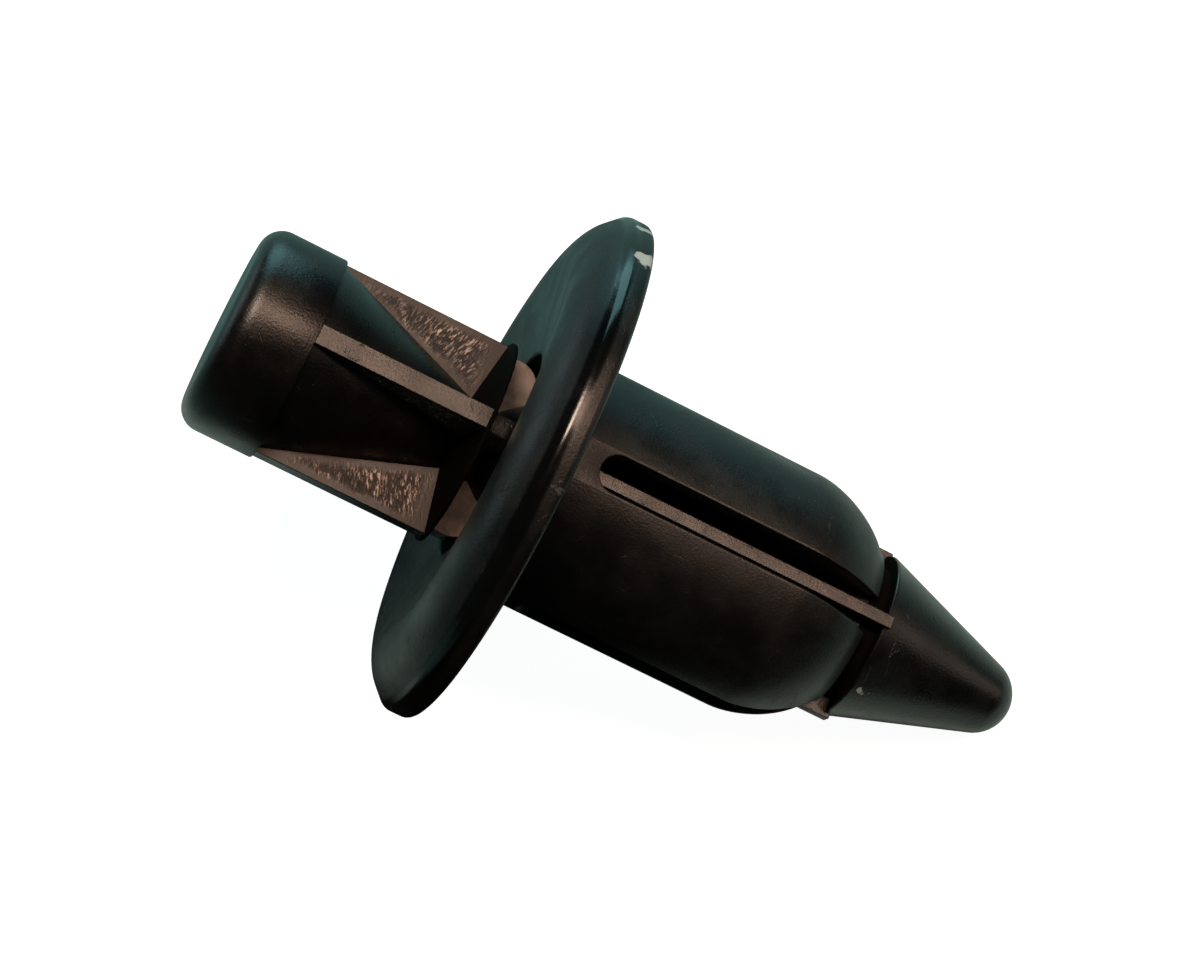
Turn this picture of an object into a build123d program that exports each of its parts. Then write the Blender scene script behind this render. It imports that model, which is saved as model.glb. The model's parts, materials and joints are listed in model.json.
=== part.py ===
from build123d import *
import os
from math import acos, atan2, cos, degrees, hypot, sin

# A plastic push rivet in two moulded pieces. The grommet is a broad flange with a shank that four slots divide
# into legs, and it goes into a panel's hole. The pin is a round button on four ribs, and its nose comes out
# between the legs. Pressing the button slides the pin down until it is level with the flange.
#
# Both pieces are drawn about the Z axis, in millimetres, with the pin raised. The flange's underside is at Z = 0,
# the button is above it and the nose below. At the end the rivet is laid on its side, as it rests on a table.

# Grommet: the flange, dished from a rounded crest to the hole. The crest's height is that of its corner before
# it is rounded.
flange_diameter = 16.84
flange_side_height = 0.77
crest_inset = 1.2
crest_height = 2.0
hole_edge_height = 1.3
rim_lower_radius = 0.25
rim_upper_radius = 0.45
crest_radius = 2.0
hole_edge_chamfer = 0.08

# Grommet: the shank and its legs
shank_diameter = 8.0
shank_root_chamfer = 0.2
straight_shank_length = 8.3
leg_length = 11.15
leg_lip_diameter = 5.66
leg_lip_length = 0.2
leg_end_diameter = 5.36
slot_width = 1.2
slot_start_depth = 1.35

# Pin: the button and the ribs under it
button_diameter = 6.66
button_length = 2.6
button_edge_radius = 0.75
rib_count = 4
rib_inset = 0.05
rib_thickness = 0.66

# Pin: the web between the ribs narrows to a neck, which a thin collar ends
web_inset = 0.18
web_length = 5.24
neck_diameter = 2.54
collar_slope_length = 0.4
collar_edge_thickness = 0.12

# Pin: the ribs' feet below the collar, and the skirt that widens from the neck to the barrel
foot_inset = 0.23
foot_length = 0.43
foot_rounding = 0.85
skirt_length = 1.23
barrel_diameter = 4.6
fin_diameter = 5.4
fin_thickness = 0.55

# Pin: the nose
nose_diameter = 5.56
nose_length = 5.6
nose_tip_radius = 1.26
nose_edge_chamfer = 0.06

# How the two pieces fit, and how high the button's top stands once it is pressed home
button_clearance = 0.09
barrel_clearance = 0.15
foot_clearance = 0.05
leg_bore_cone_length = 1.0
nose_gap = 0.45
pin_travel = 8.55
seated_button_height = 1.85

# How the rivet lies: the angle that it has rolled from one slot facing straight up
resting_roll = -3

# Grommet: what follows from those sizes
flange_radius = flange_diameter / 2
shank_radius = shank_diameter / 2
bore_radius = button_diameter / 2 + button_clearance
leg_bore_radius = barrel_diameter / 2 + barrel_clearance

# Pin: its levels, from the raised button down to the tip
button_top = seated_button_height + pin_travel
button_foot = button_top - button_length
web_foot = button_foot - web_length
collar_top = web_foot - collar_slope_length
collar_foot = collar_top - collar_edge_thickness
feet_straight_end = collar_foot - foot_length
skirt_foot = feet_straight_end - skirt_length
nose_base = -(leg_length + nose_gap)
tip_centre = nose_base - nose_length + nose_tip_radius

# Pin: its radii
rib_radius = button_diameter / 2 - rib_inset
foot_radius = rib_radius - foot_inset
barrel_radius = barrel_diameter / 2
nose_radius = nose_diameter / 2

# The wide bore ends just below the place that the ribs' feet reach when the pin is pressed home.
bore_foot = feet_straight_end - pin_travel - foot_clearance
leg_bore_top = bore_foot - leg_bore_cone_length


def tangent_angle(reach, rise, radius_difference):
    """The angle from the axis of a straight side that touches two circles, or a point and a circle.

    Their centres lie reach apart across the axis and rise apart along it.
    """
    return acos(radius_difference / hypot(reach, rise)) - atan2(rise, reach)


def turned(section):
    """A section drawn as (radius, height) is turned once about the axis, from midway between two slots."""
    return Rot(Z=180 / rib_count) * revolve(Plane.XZ * section, Axis.Z)


def rounded(section, corner, radius):
    """The section with its corner at that point rounded."""
    return fillet(section.vertices().sort_by_distance(Vector(*corner))[0], radius)


def bevelled(section, corner, length):
    """The section with its corner at that point cut off."""
    return chamfer(section.vertices().sort_by_distance(Vector(*corner))[0], length)


def flange_and_shank():
    """The grommet before its slots are cut: a dished flange, a stepped bore and legs that close in at the end."""
    hole_edge = (bore_radius, hole_edge_height)
    crest = (flange_radius - crest_inset, crest_height)
    rim_top = (flange_radius, flange_side_height)
    rim_foot = (flange_radius, 0)
    root = (shank_radius, 0)
    taper_start = (shank_radius, -straight_shank_length)
    lip = (leg_lip_diameter / 2, leg_lip_length - leg_length)
    leg_end = (leg_end_diameter / 2, -leg_length)

    outside = Polyline(hole_edge, crest, rim_top, rim_foot, root, taper_start)
    taper = TangentArc(taper_start, lip, tangent=(0, -1))
    inside = Polyline(
        lip,
        leg_end,
        (leg_bore_radius, -leg_length),
        (leg_bore_radius, leg_bore_top),
        (bore_radius, bore_foot),
        hole_edge,
    )
    section = make_face([outside, taper, inside])
    section = bevelled(section, hole_edge, hole_edge_chamfer)
    section = rounded(section, crest, crest_radius)
    section = rounded(section, rim_top, rim_upper_radius)
    section = rounded(section, rim_foot, rim_lower_radius)
    section = bevelled(section, root, shank_root_chamfer)
    return turned(section)


def slot():
    """One slot through both walls of the shank, with a round upper end, open at the legs' ends."""
    round_end_height = -slot_start_depth - slot_width / 2
    outline = Pos(0, round_end_height) * Circle(slot_width / 2)
    outline += Pos(0, round_end_height) * Rectangle(slot_width, leg_length, align=(Align.CENTER, Align.MAX))
    return extrude(Plane.YZ * outline, amount=shank_diameter, both=True)


def grommet():
    """The flanged grommet, with a slot over each rib of the pin."""
    shank = flange_and_shank()
    for turn in range(rib_count // 2):
        shank -= Rot(Z=360 / rib_count * turn) * slot()
    return shank


def turned_pin():
    """Everything round on the pin, from the button to the tip, as one turned section."""
    neck_radius = neck_diameter / 2
    half_angle = tangent_angle(nose_radius, nose_base - tip_centre, nose_tip_radius)
    tip_side = (nose_tip_radius * cos(half_angle), tip_centre - nose_tip_radius * sin(half_angle))
    tip_end = (0, tip_centre - nose_tip_radius)
    button_edge = (button_diameter / 2, button_top)
    nose_edge = (nose_radius, nose_base)

    side = Polyline(
        tip_end,
        (0, button_top),
        button_edge,
        (button_diameter / 2, button_foot),
        (button_diameter / 2 - web_inset, button_foot),
        (neck_radius, web_foot),
        (rib_radius, collar_top),
        (rib_radius, collar_foot),
        (neck_radius, collar_foot),
        (neck_radius, feet_straight_end),
        (barrel_radius, skirt_foot),
        (barrel_radius, nose_base),
        nose_edge,
        tip_side,
    )
    tip = TangentArc(tip_side, tip_end, tangent=(-sin(half_angle), -cos(half_angle)))
    section = make_face([side, tip])
    section = rounded(section, button_edge, button_edge_radius)
    section = bevelled(section, nose_edge, nose_edge_chamfer)
    return turned(section)


def rib():
    """One of the ribs that carry the button, with its rounded foot below the collar."""
    foot_corner = (foot_radius, feet_straight_end - foot_rounding)
    outline = make_face(
        Polyline(
            (0, foot_corner[1]),
            (0, button_foot),
            (rib_radius, button_foot),
            (rib_radius, collar_foot),
            (foot_radius, collar_foot),
            foot_corner,
            (0, foot_corner[1]),
        )
    )
    outline = rounded(outline, foot_corner, foot_rounding)
    return extrude(Plane.XZ * outline, amount=rib_thickness / 2, both=True)


def fin():
    """One of the thin fins that stand on the barrel inside the slots, down to the nose."""
    outline = Pos(0, nose_base) * Rectangle(fin_diameter / 2, skirt_foot - nose_base, align=Align.MIN)
    return extrude(Plane.XZ * outline, amount=fin_thickness / 2, both=True)


def pin():
    """The pin: button, ribs, web, collar, barrel, fins and nose in one moulding."""
    around = PolarLocations(0, rib_count)
    body = turned_pin()
    body += [place * rib() for place in around]
    body += [place * fin() for place in around]
    return body


def resting_place(pieces):
    """The move that lays the rivet down, with the flange's rim and the nose's tip on the plane Z = 0.

    The nose points along +X, and the origin is under the middle of the whole rivet.
    """
    tilt = tangent_angle(
        flange_radius - rim_lower_radius,
        rim_lower_radius - tip_centre,
        nose_tip_radius - rim_lower_radius,
    )
    laid = Rot(Y=degrees(tilt) - 90) * Rot(Z=resting_roll)
    box = Compound([laid * piece for piece in pieces]).bounding_box()
    return Pos(-box.center().X, -box.center().Y, -box.min.Z) * laid


os.makedirs("parts", exist_ok=True)
solids = {"grommet": grommet(), "pin": pin()}
placement = resting_place(solids.values())
for name, solid in solids.items():
    export_step(placement * solid, f"parts/{name}.step")
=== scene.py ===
# %% [markdown]
# # A plastic push rivet
#
# This rivet clips trim panels together. It is moulded in black nylon in two pieces. The grommet is
# a broad flange on a hollow shank, and four slots divide the shank into legs. The pin is a round
# button on four ribs, with a cone for a nose. Pressing the button slides the pin down the grommet
# until the two are level.
#
# The construction comes from the CAD model, which is loaded first as a fixed frame. Blender adds
# the finish: softened edges, the grain of the mould, tool marks, small scars and the light.

# %% Load the frame
import json
from math import acos, atan2, cos, hypot, pi, radians, sin, tan

import bmesh
import bpy
from mathutils import Matrix, Vector


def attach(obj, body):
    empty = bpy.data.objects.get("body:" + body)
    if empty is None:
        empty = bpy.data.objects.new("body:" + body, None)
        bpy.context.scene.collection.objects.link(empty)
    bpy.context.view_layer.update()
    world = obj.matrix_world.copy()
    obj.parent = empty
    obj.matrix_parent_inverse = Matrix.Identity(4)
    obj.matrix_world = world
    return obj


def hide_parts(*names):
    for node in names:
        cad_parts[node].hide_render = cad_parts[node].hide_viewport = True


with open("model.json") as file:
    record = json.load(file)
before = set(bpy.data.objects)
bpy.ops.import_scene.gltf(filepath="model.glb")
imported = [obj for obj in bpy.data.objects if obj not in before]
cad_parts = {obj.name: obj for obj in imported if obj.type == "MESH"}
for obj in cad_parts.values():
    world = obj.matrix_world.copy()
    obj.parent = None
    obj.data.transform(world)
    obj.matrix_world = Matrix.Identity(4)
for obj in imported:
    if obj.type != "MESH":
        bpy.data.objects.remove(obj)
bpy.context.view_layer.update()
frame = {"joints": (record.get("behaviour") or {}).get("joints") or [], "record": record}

# %% [markdown]
# ## Where the rivet lies
#
# Both pieces are turned forms, so they are easiest to model upright, about the Z axis and in
# millimetres, with the flange's underside at zero. The rivet itself lies on its side. One matrix
# carries a finished mesh from the upright pose to its place in the frame. It is worked out from the
# record: the slide's axis points from the button to the nose, and the two mounts give the height of
# the flange and one direction across the axis.

# %% From upright to lying
MM = 0.001
mounts = {mount["name"]: mount for mount in frame["record"]["mounts"]}
to_nose = Vector(frame["joints"][0]["axis"]).normalized()
seat_point = Vector(mounts["seat"]["pos_m"])
shank_point = Vector(mounts["shank"]["pos_m"])
seat_centre = shank_point + to_nose * (seat_point - shank_point).dot(to_nose)
side_axis = (seat_point - seat_centre).normalized()
rib_axis = side_axis.cross(-to_nose)
turn = Matrix((rib_axis, side_axis, -to_nose)).transposed()
lay = Matrix.Translation(seat_centre) @ turn.to_4x4() @ Matrix.Scale(MM, 4)
print("the nose points along", [round(value, 3) for value in to_nose])

# %% [markdown]
# ## Sizes
#
# All sizes are in millimetres, and heights are measured from the flange's underside. The height of
# the crest is that of its corner before it is rounded. The shank fits an 8 mm hole.
#
# The grommet's sizes are those of the CAD model, with three differences. The rounding at the side
# of the rim is 0.1 mm smaller here. The step inside the bore is 0.2 mm lower. And the CAD model cuts
# its small edges off with narrow chamfers or leaves them sharp, while they are rounded here.

# %% Sizes of the grommet
FLANGE_RADIUS = 8.42
RIM_SIDE_HEIGHT = 0.77
RIM_SIDE_ROUNDING = 0.35
RIM_FOOT_ROUNDING = 0.25
CREST_INSET = 1.2
CREST_HEIGHT = 2.0
CREST_ROUNDING = 2.0
HOLE_EDGE_HEIGHT = 1.3
HOLE_ROUNDING = 0.12
SHANK_RADIUS = 4.0
SHANK_FILLET = 0.25
BORE_RADIUS = 3.42
BORE_FOOT = -7.19
LEG_BORE_RADIUS = 2.45
LEG_BORE_TOP = -8.19
STRAIGHT_SHANK = 8.3
LEG_LENGTH = 11.15
LIP_RADIUS = 2.83
LIP_LENGTH = 0.2
LEG_END_RADIUS = 2.68
LEG_END_ROUNDING = 0.05
SLOT_WIDTH = 1.2
SLOT_START = 1.35
SLOT_EDGE_ROUNDING = 0.05
print(f"the flange is {2 * FLANGE_RADIUS:.2f} mm across, and the shank {2 * SHANK_RADIUS:.1f} mm")

# %% [markdown]
# The pin's sizes come from the CAD model too, and its small edges are rounded in the same way. Two
# forms differ a little more. The collar's radius is 0.08 mm larger here, so that no light shows
# past it in the hole. The fins reach 0.2 mm further out and are 0.13 mm thinner, so that a thin
# dark line shows beside each of them in its slot.

# %% Sizes of the pin
BUTTON_RADIUS = 3.33
BUTTON_TOP = 10.4
BUTTON_TOP_ROUNDING = 0.75
BUTTON_FOOT = 7.8
BUTTON_FOOT_ROUNDING = 0.05
WEB_TOP_RADIUS = 3.15
NECK_RADIUS = 1.27
WEB_FOOT = 2.56
COLLAR_TOP = 2.16
COLLAR_FOOT = 2.04
COLLAR_RADIUS = 3.36
COLLAR_ROUNDING = 0.03
RIB_RADIUS = 3.28
RIB_THICKNESS = 0.66
RIB_TOP = BUTTON_FOOT + 0.3
RIB_TOP_RADIUS = WEB_TOP_RADIUS - 0.2
RIB_SHOULDER = BUTTON_FOOT + 0.02
FOOT_RADIUS = 3.05
FEET_STRAIGHT_END = 1.61
FOOT_ROUNDING = 0.85
SKIRT_FOOT = 0.38
BARREL_RADIUS = 2.3
BARREL_END_LENGTH = 0.6
NOSE_BASE = -11.6
NOSE_RADIUS = 2.78
NOSE_EDGE_ROUNDING = 0.08
NOSE_TIP = -17.2
TIP_RADIUS = 1.26
FIN_RADIUS = 2.9
FIN_THICKNESS = 0.42
FIN_FOOT = NOSE_BASE - 0.2
PLATE_EDGE_ROUNDING = 0.035
print(f"the pin is {BUTTON_TOP - NOSE_TIP:.1f} mm long")

# %% [markdown]
# ## Turning a section
#
# A turned form starts as a chain of edges through its corners, seen from the side. Bevelling a
# corner of the chain rounds it with a true arc, which is simpler than working out points on the
# arc. Then the chain is spun once about the axis. A closed chain gives a ring, and a chain that
# starts and ends on the axis gives a solid.

# %% Helpers for turned forms
MERGE_DISTANCE = 1e-4


def section(corners, closed=False):
    """A bmesh with one chain of edges through corners given as (radius, height)."""
    bm = bmesh.new()
    points = [bm.verts.new((radius, 0, height)) for radius, height in corners]
    ends = points[1:] + points[:1] if closed else points[1:]
    for start, end in zip(points, ends):
        bm.edges.new((start, end))
    return bm


def bevel(bm, geometry, offset, segments, affect="EDGES"):
    """Bevels edges, or the corners of a chain, with a round profile."""
    bmesh.ops.bevel(bm, geom=geometry, offset=offset, offset_type="OFFSET", affect=affect,
                    segments=segments, profile=0.5, material=-1)


def soften(bm, radius, height, rounding, segments):
    """Rounds the chain's corner nearest that radius and height with an arc of that radius."""
    place = Vector((radius, 0, height))
    corner = min(bm.verts, key=lambda vert: (vert.co - place).length)
    first, second = [(edge.other_vert(corner).co - corner.co) for edge in corner.link_edges]
    reach = rounding * tan((pi - first.angle(second)) / 2)
    bevel(bm, [corner], reach, segments, affect="VERTICES")


def spin(bm, steps):
    """Spins the chain once about the Z axis and turns its faces outwards."""
    bmesh.ops.spin(bm, geom=bm.verts[:] + bm.edges[:], cent=(0, 0, 0), axis=(0, 0, 1),
                   angle=2 * pi, steps=steps, use_merge=True)
    bmesh.ops.remove_doubles(bm, verts=bm.verts, dist=MERGE_DISTANCE)
    bmesh.ops.recalc_face_normals(bm, faces=bm.faces)


def new_piece(name, bm):
    """An object at the origin with the bmesh as its mesh."""
    mesh = bpy.data.meshes.new(name)
    bm.to_mesh(mesh)
    bm.free()
    piece = bpy.data.objects.new(name, mesh)
    bpy.context.scene.collection.objects.link(piece)
    print(name, "has", len(mesh.polygons), "faces")
    return piece


# %% [markdown]
# ## The grommet's flange and shank
#
# The flange is dished: its face falls from a broad, rounded crest to the hole, and turns down to a
# low rim. The underside is flat, so that it seals against the panel. The legs close in to a thin
# lip, which keeps the cone of the nose from catching the edge of the panel's hole. The closing-in
# is one long arc. Its radius follows from how far the legs come in and over what length, and it is
# drawn a touch short, so that its ends stay clear of the next corners.

# %% Draw and spin the grommet
GROMMET_STEPS = 144
ARC_SHARE = 0.995

taper_drop = LEG_LENGTH - LIP_LENGTH - STRAIGHT_SHANK
taper_inset = SHANK_RADIUS - LIP_RADIUS
taper_rounding = (taper_drop**2 + taper_inset**2) / (2 * taper_inset)
taper_reach = taper_rounding * tan(atan2(taper_drop, taper_rounding - taper_inset) / 2)
taper_corner = (SHANK_RADIUS, -STRAIGHT_SHANK - taper_reach)

grommet_section = section(
    [
        (BORE_RADIUS, HOLE_EDGE_HEIGHT),
        (FLANGE_RADIUS - CREST_INSET, CREST_HEIGHT),
        (FLANGE_RADIUS, RIM_SIDE_HEIGHT),
        (FLANGE_RADIUS, 0),
        (SHANK_RADIUS, 0),
        taper_corner,
        (LIP_RADIUS, LIP_LENGTH - LEG_LENGTH),
        (LEG_END_RADIUS, -LEG_LENGTH),
        (LEG_BORE_RADIUS, -LEG_LENGTH),
        (LEG_BORE_RADIUS, LEG_BORE_TOP),
        (BORE_RADIUS, BORE_FOOT),
    ],
    closed=True,
)
grommet_corners = [
    # radius, height, rounding, segments
    (*taper_corner, taper_rounding * ARC_SHARE, 14),
    (SHANK_RADIUS, 0, SHANK_FILLET, 4),
    (FLANGE_RADIUS, 0, RIM_FOOT_ROUNDING, 5),
    (FLANGE_RADIUS, RIM_SIDE_HEIGHT, RIM_SIDE_ROUNDING, 7),
    (FLANGE_RADIUS - CREST_INSET, CREST_HEIGHT, CREST_ROUNDING, 10),
    (BORE_RADIUS, HOLE_EDGE_HEIGHT, HOLE_ROUNDING, 4),
    (LEG_END_RADIUS, -LEG_LENGTH, LEG_END_ROUNDING, 2),
]
for corner in grommet_corners:
    soften(grommet_section, *corner)
spin(grommet_section, GROMMET_STEPS)
grommet = new_piece("grommet_moulding", grommet_section)

# %% [markdown]
# ## The slots
#
# Each slot runs through both walls of the shank, so two crossing cutters make four slots. A cutter
# is a bar whose upper end is round: a box with its two upper corners bevelled by almost half its
# width. A Boolean modifier takes it out of the shank, and the result is kept as the mesh.

# %% Cut the slots
CUTTER_LENGTH = SHANK_RADIUS * 3
CUTTER_END_SHARE = 0.999
CUTTER_END_SEGMENTS = 10
SAME_PLACE = 1e-6


def slot_cutter(angle):
    """A bar across the shank, round at its upper end, turned by that angle about the axis."""
    bm = bmesh.new()
    middle = -SLOT_START - LEG_LENGTH / 2
    bmesh.ops.create_cube(bm, size=1)
    bmesh.ops.scale(bm, vec=(CUTTER_LENGTH, SLOT_WIDTH, LEG_LENGTH), verts=bm.verts)
    bmesh.ops.translate(bm, vec=(0, 0, middle), verts=bm.verts)
    upper = [edge for edge in bm.edges if all(vert.co.z > middle for vert in edge.verts)]
    along = [edge for edge in upper if abs(edge.verts[0].co.y - edge.verts[1].co.y) < SAME_PLACE]
    bevel(bm, along, SLOT_WIDTH / 2 * CUTTER_END_SHARE, CUTTER_END_SEGMENTS)
    bmesh.ops.rotate(bm, cent=(0, 0, 0), matrix=Matrix.Rotation(angle, 3, "Z"), verts=bm.verts)
    return new_piece("slot_cutter", bm)


def cut(piece, cutter):
    """Takes the cutter's shape out of the piece, and keeps the result as the piece's mesh."""
    boolean = piece.modifiers.new("cut", "BOOLEAN")
    boolean.operation = "DIFFERENCE"
    boolean.solver = "EXACT"
    boolean.object = cutter
    evaluated = piece.evaluated_get(bpy.context.evaluated_depsgraph_get())
    result = bpy.data.meshes.new_from_object(evaluated)
    piece.modifiers.clear()
    piece.data = result
    bpy.data.objects.remove(cutter)


for slot_angle in (0, pi / 2):
    cut(grommet, slot_cutter(slot_angle))
print("the slotted grommet has", len(grommet.data.polygons), "faces")

# %% [markdown]
# The moulded edge of a slot is never quite sharp, so the outer edges get a narrow bevel. The edges
# to bevel are found by their place, beside a slot and outside the bore, and by the sharp angle
# between their two faces.

# %% Soften the slots' outer edges
SHARP_CORNER = radians(35)
BESIDE_SLOT = 0.01
OUTSIDE_BORE = 0.1
OUTSIDE_LEG_BORE = 0.2


def on_a_slot(edge):
    """True for an edge where a slot's wall meets the outside of the shank."""
    middle = (edge.verts[0].co + edge.verts[1].co) / 2
    if middle.z > LEG_BORE_TOP:
        inside = BORE_RADIUS + OUTSIDE_BORE
    else:
        inside = LEG_BORE_RADIUS + OUTSIDE_LEG_BORE
    outside = hypot(middle.x, middle.y) > inside
    sharp = len(edge.link_faces) == 2 and edge.calc_face_angle() > SHARP_CORNER
    beside = min(abs(middle.x), abs(middle.y)) < SLOT_WIDTH / 2 + BESIDE_SLOT
    return sharp and beside and outside and middle.z < -SLOT_START / 2


grommet_mesh = bmesh.new()
grommet_mesh.from_mesh(grommet.data)
bmesh.ops.remove_doubles(grommet_mesh, verts=grommet_mesh.verts, dist=MERGE_DISTANCE)
slot_edges = [edge for edge in grommet_mesh.edges if on_a_slot(edge)]
bevel(grommet_mesh, slot_edges, SLOT_EDGE_ROUNDING, segments=2)
grommet_mesh.to_mesh(grommet.data)
grommet_mesh.free()
print(len(slot_edges), "slot edges softened")

# %% [markdown]
# ## The pin
#
# The pin's round parts are one turned section: the button, the web that narrows to the neck, the
# thin collar, the barrel that fills the shank, and the nose. The tip is a ball that the cone runs
# into without a step, so the cone's angle follows from the two radii and the nose's length.
#
# The pin has three finishes, and each face is told which it has. The collar and the lower end of
# the barrel are matte and hardly shine, as painted shade: they stand in narrow gaps of the grommet,
# where little light comes.

# %% Draw and spin the pin's round parts
PIN_STEPS = 96
TIP_STEPS = 10
SMOOTH, DRAGGED_AND_GLINTING, MATTE = range(3)
FACE_MARGIN = 0.01

tip_centre = NOSE_TIP + TIP_RADIUS
nose_length = NOSE_BASE - tip_centre
cone_angle = acos(TIP_RADIUS / hypot(NOSE_RADIUS, nose_length)) - atan2(nose_length, NOSE_RADIUS)
tip_arc = []
for step in range(TIP_STEPS + 1):
    tip_angle = cone_angle + (pi / 2 - cone_angle) * step / TIP_STEPS
    tip_arc.append((TIP_RADIUS * cos(tip_angle), tip_centre - TIP_RADIUS * sin(tip_angle)))

pin_section = section(
    [
        (0, BUTTON_TOP),
        (BUTTON_RADIUS, BUTTON_TOP),
        (BUTTON_RADIUS, BUTTON_FOOT),
        (WEB_TOP_RADIUS, BUTTON_FOOT),
        (NECK_RADIUS, WEB_FOOT),
        (COLLAR_RADIUS, COLLAR_TOP),
        (COLLAR_RADIUS, COLLAR_FOOT),
        (NECK_RADIUS, COLLAR_FOOT),
        (NECK_RADIUS, FEET_STRAIGHT_END),
        (BARREL_RADIUS, SKIRT_FOOT),
        (BARREL_RADIUS, NOSE_BASE + BARREL_END_LENGTH),
        (BARREL_RADIUS, NOSE_BASE),
        (NOSE_RADIUS, NOSE_BASE),
    ]
    + tip_arc
)
pin_corners = [
    # radius, height, rounding, segments
    (BUTTON_RADIUS, BUTTON_TOP, BUTTON_TOP_ROUNDING, 10),
    (BUTTON_RADIUS, BUTTON_FOOT, BUTTON_FOOT_ROUNDING, 2),
    (COLLAR_RADIUS, COLLAR_TOP, COLLAR_ROUNDING, 2),
    (COLLAR_RADIUS, COLLAR_FOOT, COLLAR_ROUNDING, 2),
    (NOSE_RADIUS, NOSE_BASE, NOSE_EDGE_ROUNDING, 3),
]
for corner in pin_corners:
    soften(pin_section, *corner)
spin(pin_section, PIN_STEPS)
# The collar and the barrel's lower end take the matte finish, painted shade for their gaps.
for face in pin_section.faces:
    face_height = face.calc_center_median().z
    on_collar = COLLAR_FOOT - FACE_MARGIN < face_height < WEB_FOOT
    on_barrel_end = NOSE_BASE - FACE_MARGIN < face_height < NOSE_BASE + BARREL_END_LENGTH
    if on_collar or on_barrel_end:
        face.material_index = MATTE
print(sum(face.material_index == MATTE for face in pin_section.faces), "faces of the pin are matte")

# %% [markdown]
# ## The ribs and fins
#
# A rib is a flat plate that stands on the axis, with a round foot below the collar. A fin is a
# thinner plate that reaches into a slot from the inside. Four of each stand round the pin. A plate
# is drawn as one face, given its thickness by an extrusion, and its edges are softened, because a
# moulded rib catches the light along them.

# %% Stand the plates on the pin
PLATES = 4
FOOT_SEGMENTS = 10
FLAT_SIDE = 0.999


def plate(corners, thickness, foot=None, side_finish=SMOOTH):
    """A flat plate standing on the axis. A foot is a corner's radius, height and rounding."""
    bm = section(corners, closed=True)
    if foot:
        soften(bm, *foot, FOOT_SEGMENTS)
    face = bmesh.ops.contextual_create(bm, geom=bm.edges[:])["faces"]
    bmesh.ops.translate(bm, vec=(0, -thickness / 2, 0), verts=bm.verts)
    extruded = bmesh.ops.extrude_face_region(bm, geom=face)["geom"]
    far_corners = [item for item in extruded if isinstance(item, bmesh.types.BMVert)]
    bmesh.ops.translate(bm, vec=(0, thickness, 0), verts=far_corners)
    bmesh.ops.recalc_face_normals(bm, faces=bm.faces)
    edges = [edge for edge in bm.edges if edge.calc_face_angle(0) > SHARP_CORNER]
    bevel(bm, edges, PLATE_EDGE_ROUNDING, segments=2)
    bm.normal_update()
    for face in bm.faces:
        face.material_index = side_finish if abs(face.normal.y) > FLAT_SIDE else SMOOTH
    return bm


def stand_round(target, bm, count):
    """Adds copies of a bmesh to the target, evenly spaced about the axis."""
    mesh = bpy.data.meshes.new("plate")
    bm.to_mesh(mesh)
    bm.free()
    for _ in range(count):
        mesh.transform(Matrix.Rotation(2 * pi / count, 4, "Z"))
        target.from_mesh(mesh)
    bpy.data.meshes.remove(mesh)


foot_end = FEET_STRAIGHT_END - FOOT_ROUNDING
rib_outline = [
    (0, foot_end),
    (0, RIB_TOP),
    (RIB_TOP_RADIUS, RIB_TOP),
    (RIB_RADIUS, RIB_SHOULDER),
    (RIB_RADIUS, COLLAR_FOOT),
    (FOOT_RADIUS, COLLAR_FOOT),
    (FOOT_RADIUS, foot_end),
]
fin_outline = [(0, FIN_FOOT), (0, SKIRT_FOOT), (FIN_RADIUS, SKIRT_FOOT), (FIN_RADIUS, FIN_FOOT)]
rib = plate(rib_outline, RIB_THICKNESS, (FOOT_RADIUS, foot_end, FOOT_ROUNDING), DRAGGED_AND_GLINTING)
stand_round(pin_section, rib, PLATES)
stand_round(pin_section, plate(fin_outline, FIN_THICKNESS), PLATES)
pin = new_piece("pin_moulding", pin_section)

# %% [markdown]
# ## Finishing the pieces
#
# Each mesh is carried to its place in the frame, and shaded smooth except where two faces meet at a
# real corner. Weighted normals keep the large faces flat right up to their softened edges. Then
# each piece takes the place of its CAD node and rides on its body.

# %% Lay, shade and attach
SHADED_CORNER = radians(32)


def finish_piece(piece, node):
    """Lays the piece in its place, shades it, and lets it stand for the CAD node."""
    piece.data.transform(lay)
    piece.data.shade_smooth()
    piece.data.set_sharp_from_angle(angle=SHADED_CORNER)
    normals = piece.modifiers.new("flat faces", "WEIGHTED_NORMAL")
    normals.keep_sharp = True
    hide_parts(node)
    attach(piece, node)
    print(piece.name, "stands for", node)


finish_piece(grommet, "grommet")
finish_piece(pin, "pin")

# %% [markdown]
# ## The plastic
#
# Black nylon is almost black, so what the eye sees is its sheen. The mould leaves a fine grain, the
# sheen varies a little from place to place, and handling adds faint scratches. The effects that
# several materials share are node groups, which take a position and give masks and heights. The
# position is in millimetres, upright about the axis as the pieces were modelled, so a pattern can
# follow the form.
#
# A few helpers keep the node trees short. Each adds one node and gives its output.

# %% Shader helpers
VECTOR = "NodeSocketVector"
FLOAT = "NodeSocketFloat"
NOISE_MIDDLE = 0.5


def node(tree, kind, inputs=None, **settings):
    """A new node with its properties set. An input is a constant, or an output to link to it."""
    made = tree.nodes.new(kind)
    for name, value in settings.items():
        setattr(made, name, value)
    for name, value in (inputs or {}).items():
        socket = made.inputs[name]
        if isinstance(value, bpy.types.NodeSocket):
            tree.links.new(value, socket)
        else:
            socket.default_value = value
    return made


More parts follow.
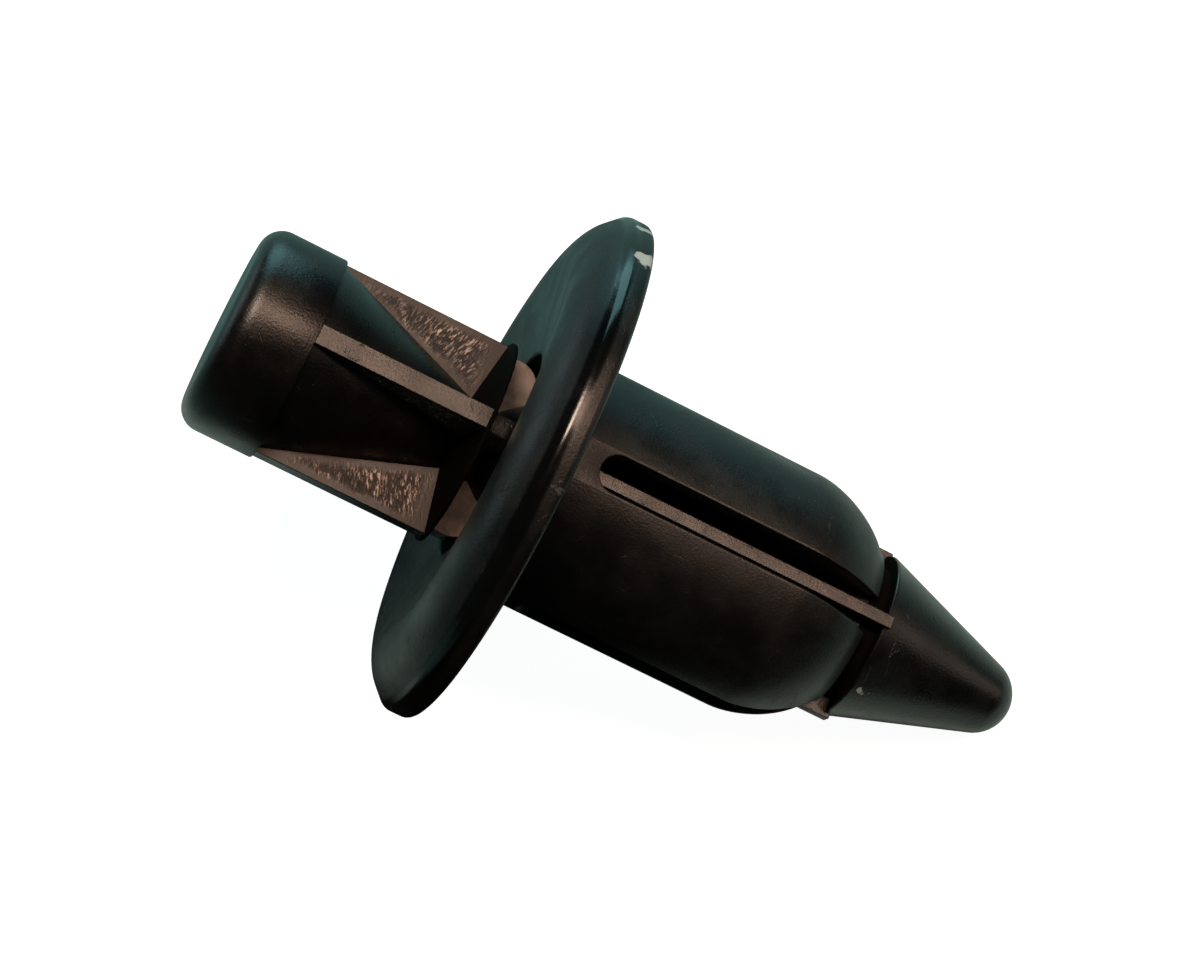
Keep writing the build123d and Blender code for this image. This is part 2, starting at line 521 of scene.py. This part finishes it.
def group_tree(name, inputs, outputs):
    """An empty node group, its inputs and its outputs. The sockets are given as name: type."""
    tree = bpy.data.node_groups.new(name, "ShaderNodeTree")
    for label, kind in inputs.items():
        tree.interface.new_socket(label, in_out="INPUT", socket_type=kind)
    for label, kind in outputs.items():
        tree.interface.new_socket(label, in_out="OUTPUT", socket_type=kind)
    given = tree.nodes.new("NodeGroupInput").outputs
    return tree, given, tree.nodes.new("NodeGroupOutput").inputs


def calc(tree, operation, first, second=0.0):
    """The output of a Math node."""
    return node(tree, "ShaderNodeMath", {0: first, 1: second}, operation=operation).outputs[0]


def vector_calc(tree, operation, first, second=(0, 0, 0), output="Vector"):
    """An output of a Vector Math node."""
    made = node(tree, "ShaderNodeVectorMath", {0: first, 1: second}, operation=operation)
    return made.outputs[output]


def scaled(tree, position, scale):
    """The position multiplied along each axis."""
    inputs = {"Vector": position, "Scale": scale}
    return node(tree, "ShaderNodeMapping", inputs, vector_type="POINT").outputs[0]


def noise(tree, position, scale, detail=4.0, roughness=0.55, stretch=(1, 1, 1)):
    """A noise value, stretched along the axes."""
    inputs = {"Vector": scaled(tree, position, stretch), "Scale": scale, "Detail": detail,
              "Roughness": roughness}
    return node(tree, "ShaderNodeTexNoise", inputs).outputs[0]


def remap(tree, value, source, target=(0.0, 1.0)):
    """A value carried smoothly from one range to another."""
    inputs = {0: value, 1: source[0], 2: source[1], 3: target[0], 4: target[1]}
    return node(tree, "ShaderNodeMapRange", inputs, interpolation_type="SMOOTHSTEP").outputs[0]


def mix_colour(tree, factor, first, second):
    """A colour between two others. Each of them is (red, green, blue) or an output."""
    colours = [value if isinstance(value, bpy.types.NodeSocket) else (*value, 1)
               for value in (first, second)]
    # A Mix node keeps its two colours in sockets 6 and 7, and gives the mixed colour in output 2.
    made = node(tree, "ShaderNodeMix", {0: factor, 6: colours[0], 7: colours[1]}, data_type="RGBA")
    return made.outputs[2]


# %% [markdown]
# The grain has two parts: a fine noise from the mould's own surface, and long, shallow waves that
# run along the axis. A slower noise gives the mottle, which later varies the colour and the sheen.

# %% The moulded grain, shared by all the plastic
WAVE_SHARE = 0.4
WAVE_STRETCH = (1, 1, 0.35)
MOTTLE_RANGE = (0.3, 0.7)


def moulded_grain():
    """A node group with the height of the grain and the mottle of the surface."""
    tree, given, result = group_tree("moulded grain", {"Position": VECTOR},
                                     {"Height": FLOAT, "Mottle": FLOAT})
    position = given["Position"]
    fine = noise(tree, position, scale=13.0, detail=3.0, roughness=0.6)
    waves = noise(tree, position, scale=1.6, detail=3.0, stretch=WAVE_STRETCH)
    patches = noise(tree, position, scale=0.55, detail=5.0, roughness=0.6)
    height = calc(tree, "ADD", fine, calc(tree, "MULTIPLY", waves, WAVE_SHARE))
    tree.links.new(height, result["Height"])
    tree.links.new(remap(tree, patches, MOTTLE_RANGE), result["Mottle"])
    return tree


grain_group = moulded_grain()
print("made the group", grain_group.name)

# %% [markdown]
# Scratches are thin lines in a few directions. The edges between the cells of a Voronoi pattern,
# stretched and bent a little, make lines of that sort, and a noise keeps only some of them.

# %% Scratches from handling
SCRATCH_WIDTH = 0.018
SCRATCH_STRETCH = (0.9, 0.5, 1.7)
SCRATCHES_KEPT = (0.56, 0.68)


def handling_scratches():
    """A node group with a mask that is 1 on a scratch."""
    tree, given, result = group_tree("handling scratches", {"Position": VECTOR}, {"Mask": FLOAT})
    position = given["Position"]
    bent = vector_calc(tree, "ADD", position, noise(tree, position, scale=0.9))
    stretched = scaled(tree, bent, SCRATCH_STRETCH)
    cells = node(tree, "ShaderNodeTexVoronoi", {"Vector": stretched, "Scale": 1.0},
                 feature="DISTANCE_TO_EDGE")
    lines = remap(tree, cells.outputs["Distance"], (0.0, SCRATCH_WIDTH), (1.0, 0.0))
    kept = remap(tree, noise(tree, position, scale=1.1), SCRATCHES_KEPT)
    tree.links.new(calc(tree, "MULTIPLY", lines, kept), result["Mask"])
    return tree


scratch_group = handling_scratches()
print("made the group", scratch_group.name)

# %% [markdown]
# The flanks of the ribs are rough. The mould has dragged on them as the pin came out, which has
# torn short ripples across the draw. A noise that is fine along the axis and coarse across it gives
# such ripples, and a mask keeps them in the middle of each flank, clear of the web and the rim.
# The glints on the ripples are painted into the colour as pale flecks, a painted highlight.
# Below the collar the ribs' feet are a little paler all over: painted light, where the lamps fall
# on them.

# %% Drag marks and painted glints on the ribs' flanks
RIPPLE_STRETCH = (5.0, 15.0, 0.2)
RIPPLE_LEAN = 0.35
WANDER = 0.5
WEB_CLEARANCE = (0.3, 0.7)
RIM_FADE = (RIB_RADIUS - 0.15, RIB_RADIUS + 0.1)
COLLAR_CLEARANCE = (COLLAR_TOP + 0.3, COLLAR_TOP + 1.0)
FOOT_FADE = (COLLAR_FOOT - 0.12, COLLAR_FOOT - 0.02)
PATCH_RANGE = (0.38, 0.6)
PATCH_STRENGTH = (0.25, 1.0)
# The next three ranges are painted light: the glints on the ripples and the paler feet.
PAINTED_GLINT_RANGE = (0.50, 0.66)
FOOT_LIGHT_RANGE = (0.3, 0.7)
FOOT_LIGHT_STRENGTH = (0.16, 0.42)


def drag_marks_and_glints():
    """A node group with the ripples' height and a mask of painted highlight on flanks and feet."""
    tree, given, result = group_tree("drag marks", {"Position": VECTOR},
                                     {"Height": FLOAT, "Painted glint": FLOAT})
    position = given["Position"]
    x, y, z = node(tree, "ShaderNodeSeparateXYZ", {0: position}).outputs
    across = calc(tree, "MAXIMUM", calc(tree, "ABSOLUTE", x), calc(tree, "ABSOLUTE", y))
    lean = calc(tree, "ADD", z, calc(tree, "MULTIPLY", across, RIPPLE_LEAN))
    flat = node(tree, "ShaderNodeCombineXYZ", {0: across, 1: lean, 2: calc(tree, "ADD", x, y)})
    ripples = noise(tree, flat.outputs[0], scale=1.0, detail=3.0, roughness=0.6,
                    stretch=RIPPLE_STRETCH)

    slope = (WEB_TOP_RADIUS - NECK_RADIUS) / (BUTTON_FOOT - WEB_FOOT)
    web_edge = calc(tree, "ADD", calc(tree, "MULTIPLY", z, slope), NECK_RADIUS - WEB_FOOT * slope)
    past_web = calc(tree, "SUBTRACT", across, web_edge)
    wander = calc(tree, "MULTIPLY", noise(tree, position, scale=1.3), WANDER)
    inner = remap(tree, calc(tree, "ADD", past_web, wander), WEB_CLEARANCE)
    outer = remap(tree, calc(tree, "ADD", across, wander), RIM_FADE, (1.0, 0.0))
    ends = remap(tree, z, COLLAR_CLEARANCE)
    band = calc(tree, "MULTIPLY", calc(tree, "MULTIPLY", inner, outer), ends)

    # Painted highlight: pale glints on the ripples, in patches.
    patchy = remap(tree, noise(tree, position, scale=1.6), PATCH_RANGE, PATCH_STRENGTH)
    painted_glint = calc(tree, "MULTIPLY", remap(tree, ripples, PAINTED_GLINT_RANGE),
                calc(tree, "MULTIPLY", band, patchy))
    # Painted light: the feet below the collar are paler all over, as if lit.
    below_collar = remap(tree, z, FOOT_FADE, (1.0, 0.0))
    paleness = remap(tree, noise(tree, position, scale=1.8), FOOT_LIGHT_RANGE, FOOT_LIGHT_STRENGTH)
    painted_foot_light = calc(tree, "MULTIPLY", below_collar, paleness)

    height = calc(tree, "MULTIPLY", calc(tree, "SUBTRACT", ripples, NOISE_MIDDLE), band)
    tree.links.new(height, result["Height"])
    tree.links.new(calc(tree, "MAXIMUM", painted_glint, painted_foot_light), result["Painted glint"])
    return tree


drag_and_glint_group = drag_marks_and_glints()
print("made the group", drag_and_glint_group.name)

# %% [markdown]
# Fingers and pockets polish the edge that stands out furthest, which is the upper edge of the rim.
# The polish comes and goes round the rim. Seen in the plane of radius and height, that edge is one
# point, so the mask depends on the distance from it.

# %% The polished edge of the rim
POLISHED_EDGE = (FLANGE_RADIUS - 0.1, 0, RIM_SIDE_HEIGHT)
POLISH_FADE = (0.18, 0.36)
POLISH_RANGE = (0.35, 0.6)
POLISH_STRENGTH = (0.6, 1.0)


def polished_rim():
    """A node group with a mask that is 1 on the polished edge."""
    tree, given, result = group_tree("polished rim", {"Position": VECTOR}, {"Mask": FLOAT})
    position = given["Position"]
    x, y, z = node(tree, "ShaderNodeSeparateXYZ", {0: position}).outputs
    flat = node(tree, "ShaderNodeCombineXYZ", {0: x, 1: y}).outputs[0]
    radius = vector_calc(tree, "LENGTH", flat, output="Value")
    profile = node(tree, "ShaderNodeCombineXYZ", {0: radius, 2: z}).outputs[0]
    distance = vector_calc(tree, "DISTANCE", profile, POLISHED_EDGE, output="Value")
    near = remap(tree, distance, POLISH_FADE, (1.0, 0.0))
    uneven = remap(tree, noise(tree, position, scale=0.8), POLISH_RANGE, POLISH_STRENGTH)
    tree.links.new(calc(tree, "MULTIPLY", near, uneven), result["Mask"])
    return tree


polish_group = polished_rim()
print("made the group", polish_group.name)

# %% [markdown]
# Nylon turns pale where it has been struck hard. A nick is a small ball of space with a ragged
# edge, and whatever surface lies in the ball turns pale.

# %% A pale nick
NICK_RAGGEDNESS = 1.5
NICK_FADE = (0.75, 1.0)


def pale_nick():
    """A node group with a mask that is 1 in a ragged ball of that size about that centre."""
    tree, given, result = group_tree(
        "pale nick", {"Position": VECTOR, "Centre": VECTOR, "Size": FLOAT}, {"Mask": FLOAT})
    position = given["Position"]
    distance = vector_calc(tree, "DISTANCE", position, given["Centre"], output="Value")
    bumps = calc(tree, "SUBTRACT", noise(tree, position, scale=2.3, detail=6.0), NOISE_MIDDLE)
    ragged = calc(tree, "ADD", distance, calc(tree, "MULTIPLY", bumps, NICK_RAGGEDNESS))
    share = calc(tree, "DIVIDE", ragged, given["Size"])
    tree.links.new(remap(tree, share, NICK_FADE, (1.0, 0.0)), result["Mask"])
    return tree


nick_group = pale_nick()
print("made the group", nick_group.name)

# %% [markdown]
# ## The materials
#
# Each material starts from the object's own coordinates. The pieces stand in the frame's place, so
# one Mapping node moves and turns the pattern back upright and scales it to millimetres. The grain
# and the scratches add to one height, which a single Bump node turns into the normal. Nicks, drag
# marks and polish change that height too where a material has them, and they change the colour or
# the sheen. The colour that the drag marks add is painted light: glints and lit feet.

# %% How black nylon is built
GRAIN_HEIGHT = 0.42
SCRATCH_HEIGHT = -0.5
SCRATCH_DULLING = 0.12
POLISHED_ROUGHNESS = 0.15
NICK_COLOUR = (0.38, 0.44, 0.43)
NICK_DEPTH = 2.0
# The colour of the painted highlight on the flanks' glints.
PAINTED_GLINT_COLOUR = (0.72, 0.56, 0.47)
DRAG_HEIGHT = 6.0
BUMP_STRENGTH = 0.6
BUMP_DISTANCE = 0.035 * MM


def use(tree, group, **inputs):
    """Adds a node group to a material and gives its outputs."""
    return node(tree, "ShaderNodeGroup", inputs, node_tree=group).outputs


def upright(tree):
    """The position in millimetres, upright about the Z axis."""
    back_turn = turn.transposed()
    inputs = {
        "Vector": node(tree, "ShaderNodeTexCoord").outputs["Object"],
        "Location": -(back_turn @ seat_centre) / MM,
        "Rotation": back_turn.to_euler(),
        "Scale": (1 / MM, 1 / MM, 1 / MM),
    }
    return node(tree, "ShaderNodeMapping", inputs, vector_type="POINT").outputs[0]


def black_nylon(name, tones, roughness, nicks=(), dragged=False, polished=False):
    """Black nylon with grain and scratches, between two tones and two roughnesses."""
    material = bpy.data.materials.new(name)
    material.use_nodes = True
    tree = material.node_tree
    position = upright(tree)
    grain = use(tree, grain_group, Position=position)
    scratches = use(tree, scratch_group, Position=position)["Mask"]
    height = calc(tree, "ADD", calc(tree, "MULTIPLY", grain["Height"], GRAIN_HEIGHT),
                  calc(tree, "MULTIPLY", scratches, SCRATCH_HEIGHT))
    colour = mix_colour(tree, grain["Mottle"], *tones)
    sheen = calc(tree, "ADD", remap(tree, grain["Mottle"], (0.0, 1.0), roughness),
                 calc(tree, "MULTIPLY", scratches, SCRATCH_DULLING))
    if polished:
        polish = use(tree, polish_group, Position=position)["Mask"]
        unpolished = calc(tree, "SUBTRACT", 1.0, polish)
        sheen = calc(tree, "ADD", calc(tree, "MULTIPLY", sheen, unpolished),
                     calc(tree, "MULTIPLY", polish, POLISHED_ROUGHNESS))
        height = calc(tree, "MULTIPLY", height, unpolished)
    for centre, size, paleness in nicks:
        nick = use(tree, nick_group, Position=position, Centre=centre, Size=size)["Mask"]
        mask = calc(tree, "MULTIPLY", nick, paleness)
        colour = mix_colour(tree, mask, colour, NICK_COLOUR)
        height = calc(tree, "SUBTRACT", height, calc(tree, "MULTIPLY", mask, NICK_DEPTH))
    # Drag marks add real ripples to the height, and painted glints and lit feet to the colour.
    if dragged:
        marks = use(tree, drag_and_glint_group, Position=position)
        height = calc(tree, "ADD", height, calc(tree, "MULTIPLY", marks["Height"], DRAG_HEIGHT))
        colour = mix_colour(tree, marks["Painted glint"], colour, PAINTED_GLINT_COLOUR)
    bump = node(tree, "ShaderNodeBump",
                {"Strength": BUMP_STRENGTH, "Distance": BUMP_DISTANCE, "Height": height})
    shader = tree.nodes["Principled BSDF"]
    tree.links.new(colour, shader.inputs["Base Color"])
    tree.links.new(sheen, shader.inputs["Roughness"])
    tree.links.new(bump.outputs[0], shader.inputs["Normal"])
    return material


# %% [markdown]
# The grommet is a shade duller than the pin, and its rim carries two pale nicks near its highest
# point and a faint one lower down. The nose has one more. The flanks of the ribs are paler and
# warmer, partly because torn nylon scatters light and partly as painted warm light. The matte
# plastic hardly shines at all: it is painted shade for the gaps where it lies.

# %% The black plastic
grommet_nicks = [
    # centre, size, paleness
    ((4.56, 7.08, 0.42), 0.3, 1.0),
    ((6.30, 5.58, 0.25), 0.42, 1.0),
    ((8.03, -2.52, 0.2), 0.18, 0.10),
]
pin_nicks = [((1.65, -2.06, -12.02), 0.14, 0.8)]
COLLAR_SHINE = 0.03

grommet_plastic = black_nylon(
    "black nylon, grommet", tones=((0.0012, 0.0012, 0.0012), (0.003, 0.0028, 0.0027)),
    roughness=(0.36, 0.48), nicks=grommet_nicks, polished=True)
pin_plastic = black_nylon(
    "black nylon, pin", tones=((0.0014, 0.0012, 0.0011), (0.0034, 0.0028, 0.0025)),
    roughness=(0.25, 0.36), nicks=pin_nicks)
# The flanks' paler, warmer tones are partly torn nylon and partly painted warm light.
flank_plastic = black_nylon(
    "dragged nylon with painted light, rib flank", tones=((0.014, 0.0095, 0.0072), (0.034, 0.023, 0.018)),
    roughness=(0.40, 0.52), dragged=True)
collar_plastic = black_nylon(
    "matte nylon as painted shade, collar", tones=((0.0014, 0.0012, 0.0011), (0.003, 0.0025, 0.0022)),
    roughness=(0.7, 0.85))
# The collar's finish barely reflects: painted shade for the gaps it stands in.
collar_shader = collar_plastic.node_tree.nodes["Principled BSDF"]
collar_shader.inputs["Specular IOR Level"].default_value = COLLAR_SHINE

grommet.data.materials.clear()
grommet.data.materials.append(grommet_plastic)
# The pin's faces count these materials as SMOOTH, DRAGGED_AND_GLINTING and MATTE.
for plastic in (pin_plastic, flank_plastic, collar_plastic):
    pin.data.materials.append(plastic)
print("the pin's materials:", [material.name for material in pin.data.materials])

# %% [markdown]
# ## The floor
#
# The floor is plain and pale. It glows by itself, almost to white, so that it stays the same round
# the rivet however the lights are set.

# %% The pale floor
FLOOR_HALF_WIDTH = 0.6
FLOOR_GREY = (0.4, 0.4, 0.4)
FLOOR_ROUGHNESS = 0.9
FLOOR_GLOW = 0.96
WHITE = (1, 1, 1)

floor_mesh = bmesh.new()
bmesh.ops.create_grid(floor_mesh, x_segments=1, y_segments=1, size=FLOOR_HALF_WIDTH)
floor = new_piece("floor", floor_mesh)
floor_material = bpy.data.materials.new("pale floor")
floor_material.use_nodes = True
floor_tree = floor_material.node_tree
pale_floor = floor_tree.nodes["Principled BSDF"]
pale_floor.inputs["Base Color"].default_value = (*FLOOR_GREY, 1)
pale_floor.inputs["Roughness"].default_value = FLOOR_ROUGHNESS
pale_floor.inputs["Emission Color"].default_value = (*WHITE, 1)
pale_floor.inputs["Emission Strength"].default_value = FLOOR_GLOW
floor.data.materials.append(floor_material)
print("the floor's material is", floor_material.name)

# %% [markdown]
# A glossy black form is shown by what it mirrors, and a white floor on all sides would leave it
# flat and grey. So a Light Path node gives every ray but the camera's own a darker floor. It is
# near black in front, as painted shadow of the rivet, and runs to a dim teal behind and at one
# side. Two paler patches near the rivet are painted reflections, which show in the lower part of
# the flange's face and in the legs' taper. The shader below is an ordinary diffuse one, in the
# floor's own material, and the rivet's materials know nothing of it.

# %% What the floor shows to reflections
NEAR_BLACK = (0.006, 0.008, 0.008)
DIM_TEAL = (0.155, 0.385, 0.42)
PALE_TEAL = (0.44, 0.70, 0.75)
TEAL_BEHIND = (-0.004, 0.008)
TEAL_BESIDE = (-0.011, -0.022)
TEAL_BESIDE_SHARE = 0.55
floor_patches = [
    # centre, radius of the full tone, radius where it ends
    ((-0.020, -0.007, 0), 0.006, 0.012),
    ((0.012, 0.004, 0), 0.010, 0.016),
]

floor_position = node(floor_tree, "ShaderNodeTexCoord").outputs["Object"]
floor_x, floor_y, _ = node(floor_tree, "ShaderNodeSeparateXYZ", {0: floor_position}).outputs
behind = remap(floor_tree, floor_y, TEAL_BEHIND)
beside = remap(floor_tree, floor_x, TEAL_BESIDE, (0.0, TEAL_BESIDE_SHARE))
teal_share = calc(floor_tree, "MAXIMUM", behind, beside)
patch_share = 0.0
for patch_centre, full, end in floor_patches:
    distance = vector_calc(floor_tree, "DISTANCE", floor_position, patch_centre, output="Value")
    patch = remap(floor_tree, distance, (full, end), (1.0, 0.0))
    patch_share = calc(floor_tree, "MAXIMUM", patch_share, patch)
front_to_back = mix_colour(floor_tree, teal_share, NEAR_BLACK, DIM_TEAL)
tone = mix_colour(floor_tree, patch_share, front_to_back, PALE_TEAL)
dark_floor = node(floor_tree, "ShaderNodeBsdfDiffuse", {"Color": tone})


def pale_to_camera(tree, dark, pale, output_name):
    """Lets the camera see the pale shader, and every other ray the dark one."""
    seen = node(tree, "ShaderNodeLightPath").outputs["Is Camera Ray"]
    choice = node(tree, "ShaderNodeMixShader", {0: seen, 1: dark.outputs[0], 2: pale.outputs[0]})
    tree.links.new(choice.outputs[0], tree.nodes[output_name].inputs["Surface"])


pale_to_camera(floor_tree, dark_floor, pale_floor, "Material Output")
print("the floor has", len(floor_patches), "paler patches for reflections")

# %% [markdown]
# ## The camera
#
# The camera looks across the rivet with the nose down to the right. Its place and target are given
# upright in millimetres, like the sizes, and carried to the frame by the same matrix. A long lens
# from about 90 mm away keeps the flange's ellipse true.

# %% Camera
CAMERA_PLACE = Vector((87.48, -26.42, 13.73))
CAMERA_TARGET = Vector((1.04, 0.50, -2.01))
CAMERA_UP = Vector((0.193, 0.878, 0.439))
LENS = 90
SENSOR = 36
NEAREST = 0.001

place, target = lay @ CAMERA_PLACE, lay @ CAMERA_TARGET
back = (place - target).normalized()
right = (turn @ CAMERA_UP).cross(back).normalized()
up = back.cross(right)
camera_data = bpy.data.cameras.new("camera")
camera_data.lens = LENS
camera_data.sensor_width = SENSOR
camera_data.clip_start = NEAREST
camera = bpy.data.objects.new("camera", camera_data)
camera.matrix_world = Matrix.Translation(place) @ Matrix((right, up, back)).transposed().to_4x4()
bpy.context.scene.collection.objects.link(camera)
bpy.context.scene.camera = camera
print(f"the camera is {(place - target).length / MM:.0f} mm from its target")

# %% [markdown]
# ## The lights
#
# Five softboxes stand 0.4 m from the rivet. Each direction is given as the camera sees it: right,
# up, and towards the camera. The warm key is a long strip along the rivet, placed where the ribs
# and the sides of the shank mirror it. The warm top gives the bright line on the rim. The cool
# lights come from above and behind, and draw the upper outline in teal.

# %% Lights
LIGHT_DISTANCE = 0.4
softboxes = {
    # name: direction, length, width, power, colour
    "warm key": ((0.39, 0.39, 0.83), 0.30, 0.09, 0.78, (1.0, 0.66, 0.49)),
    "warm top": ((-0.06, 0.54, 0.84), 0.11, 0.11, 1.0, (1.0, 0.76, 0.60)),
    "warm side": ((0.95, 0.05, 0.33), 0.15, 0.15, 0.08, (1.0, 0.76, 0.62)),
    "cool side": ((-0.85, 0.6, -0.2), 0.25, 0.25, 0.25, (0.75, 0.95, 0.95)),
    "cool top": ((0.1, 1.0, -0.15), 0.3, 0.3, 0.75, (0.42, 0.88, 0.94)),
}


def softbox(name, direction, length, width, power, colour):
    """An area light on the rivet from that direction, long along the rivet."""
    way = (right * direction[0] + up * direction[1] + back * direction[2]).normalized()
    along = (to_nose - way * to_nose.dot(way)).normalized()
    light = bpy.data.lights.new(name, "AREA")
    light.shape = "RECTANGLE"
    light.size = length
    light.size_y = width
    light.energy = power
    light.color = colour
    lamp = bpy.data.objects.new(name, light)
    facing = Matrix((along, way.cross(along), way)).transposed().to_4x4()
    lamp.matrix_world = Matrix.Translation(target + way * LIGHT_DISTANCE) @ facing
    bpy.context.scene.collection.objects.link(lamp)


for name, settings in softboxes.items():
    softbox(name, *settings)
print("lights:", list(softboxes))

# %% [markdown]
# The world is treated like the floor: white to the camera, and a very dim teal to every other ray.
# The Standard view leaves the white of the background as it is.

# %% The world
WORLD_DIM = (0.4, 0.75, 0.8)
WORLD_DIM_STRENGTH = 0.03

world = bpy.data.worlds.new("studio")
world.use_nodes = True
world_tree = world.node_tree
dim_world = world_tree.nodes["Background"]
dim_world.inputs["Color"].default_value = (*WORLD_DIM, 1)
dim_world.inputs["Strength"].default_value = WORLD_DIM_STRENGTH
bright_world = node(world_tree, "ShaderNodeBackground", {"Color": (*WHITE, 1), "Strength": 1.0})
pale_to_camera(world_tree, dim_world, bright_world, "World Output")
bpy.context.scene.world = world
bpy.context.scene.view_settings.view_transform = "Standard"
print("the world is", world.name)
